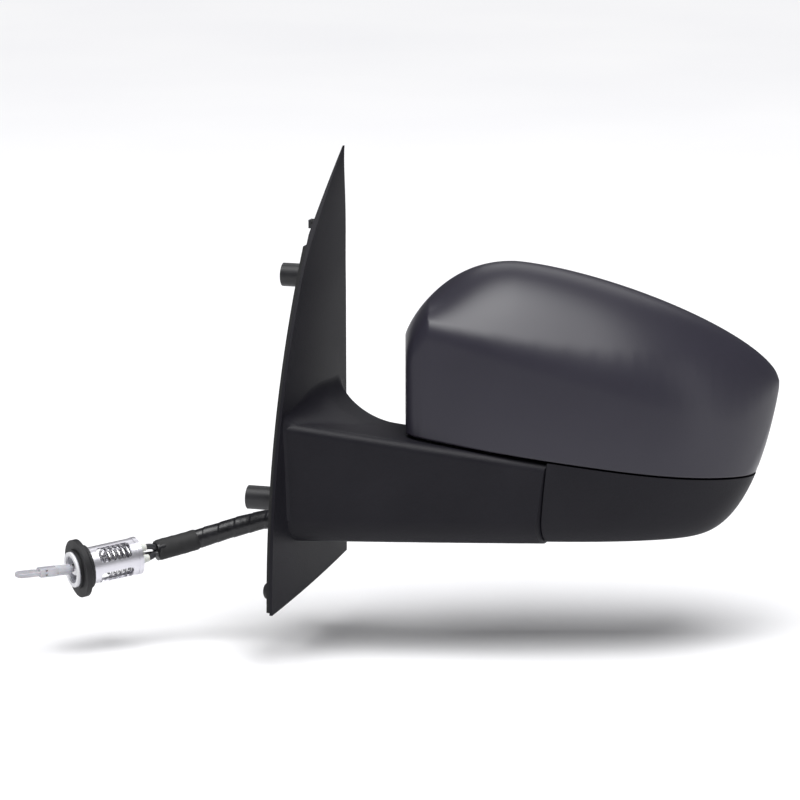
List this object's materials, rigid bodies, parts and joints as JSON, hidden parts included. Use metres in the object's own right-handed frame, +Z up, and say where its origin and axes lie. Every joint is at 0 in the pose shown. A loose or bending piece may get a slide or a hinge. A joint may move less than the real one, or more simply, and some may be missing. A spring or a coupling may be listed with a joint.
{
  "type": "car side mirror",
  "caption": "Left-hand exterior car door mirror: fold-away head, swivelling mirror glass and a cable-linked hand lever inside the door.",
  "frame": {"origin": "on the door face (the back of the foam seal), in line with the cable exit and 15 mm above it", "axes": "+X outboard, square to the door face; +Y rearward; +Z up"},
  "size_m": [0.3833, 0.1875, 0.2405],
  "materials": {
    "grained_black": "fine moulded grain",
    "satin_cap": "smooth satin",
    "frame_black": "smooth moulded",
    "foam_seal": "closed-cell foam",
    "soft_rubber": "matt",
    "sleeve_wrap": "taped wrap, slight sheen",
    "shrink_tube": "matt heat shrink",
    "conduit_black": "smooth extruded",
    "casting": "as cast",
    "coated_casting": "black coated casting",
    "cage_metal": "die cast, lightly brushed",
    "steel": "bright",
    "dark_steel": "oiled spring steel",
    "brass": "turned",
    "bush_nylon": "natural nylon",
    "grey_socket": "moulded grey",
    "white_ring": "moulded white",
    "clear_lever": "translucent moulded",
    "foam_pad": "adhesive foam",
    "mirror": "silvered"
  },
  "bodies": {
    "base": {"base_cover": "grained_black", "base_frame": "coated_casting", "door_seal": "foam_seal", "boss_inserts": "brass", "cover_screws": "dark_steel", "locating_hook": "frame_black", "corner_buffer": "soft_rubber", "cable_grommet": "soft_rubber", "arm_conduits": "conduit_black", "cable_sleeve": "sleeve_wrap", "sleeve_shrink": "shrink_tube", "control_conduits": "conduit_black", "conduit_ferrules": "bush_nylon", "control_end_plate": "cage_metal", "control_cage": "cage_metal", "control_spring": "steel", "control_wires": "steel", "lever_socket": "grey_socket", "seat_ring": "white_ring", "mounting_collar": "soft_rubber", "pivot_post": "steel", "detent_plate": "dark_steel", "spring_washer": "steel", "retaining_ring": "dark_steel", "post_grommet": "soft_rubber"},
    "head": {"cap_shell": "satin_cap", "lower_cover": "grained_black", "housing_frame": "frame_black", "swivel_plate": "frame_black", "support_bracket": "casting", "hub_bush": "bush_nylon", "detent_ring": "dark_steel", "detent_balls": "steel", "fold_spring": "dark_steel", "bracket_screws": "steel", "ball_post": "steel", "glass_spring": "steel", "head_conduits": "conduit_black", "wire_guides": "brass", "glass_wires": "steel"},
    "glass_gimbal": {"pivot_cup": "bush_nylon"},
    "glass": {"glass_carrier": "frame_black", "adhesive_pad": "foam_pad", "mirror_glass": "mirror", "cable_nipples": "brass"},
    "lever_gimbal": {"lever_cup": "bush_nylon"},
    "lever": {"lever_ball": "steel", "lever_handle": "clear_lever", "lever_spider": "cage_metal", "lever_nipples": "brass"}
  },
  "joints": [
    {"name": "head_fold", "type": "hinge", "parent": "base", "child": "head", "pos_m": [0.10318, 0.01481, 0.0303], "axis": [0.1413, 0.0432, 0.989], "range_deg": [-60, 70]},
    {"name": "glass_pan", "type": "hinge", "parent": "head", "child": "glass_gimbal", "pos_m": [0.14722, 0.05547, 0.062], "axis": [0, 0, 1], "range_deg": [-7, 7], "deforming": ["glass_wires"]},
    {"name": "glass_tilt", "type": "hinge", "parent": "glass_gimbal", "child": "glass", "pos_m": [0.14722, 0.05547, 0.062], "axis": [0.9563, 0.2924, 0], "range_deg": [-7, 7], "deforming": ["glass_wires"]},
    {"name": "lever_pan", "type": "hinge", "parent": "base", "child": "lever_gimbal", "pos_m": [-0.1077, -0.05411, -0.03894], "axis": [-0.0738, -0.069, 0.9949], "range_deg": [-12.7, 12.7], "deforming": ["control_wires"]},
    {"name": "lever_tilt", "type": "hinge", "parent": "lever_gimbal", "child": "lever", "pos_m": [-0.1077, -0.05411, -0.03894], "axis": [-0.6831, 0.7304, 0], "range_deg": [-12.7, 12.7], "deforming": ["control_wires"]}
  ],
  "couplings": [
    {"joint": "lever_pan", "follows": "glass_pan", "ratio": 1.8},
    {"joint": "lever_tilt", "follows": "glass_tilt", "ratio": 1.8}
  ]
}
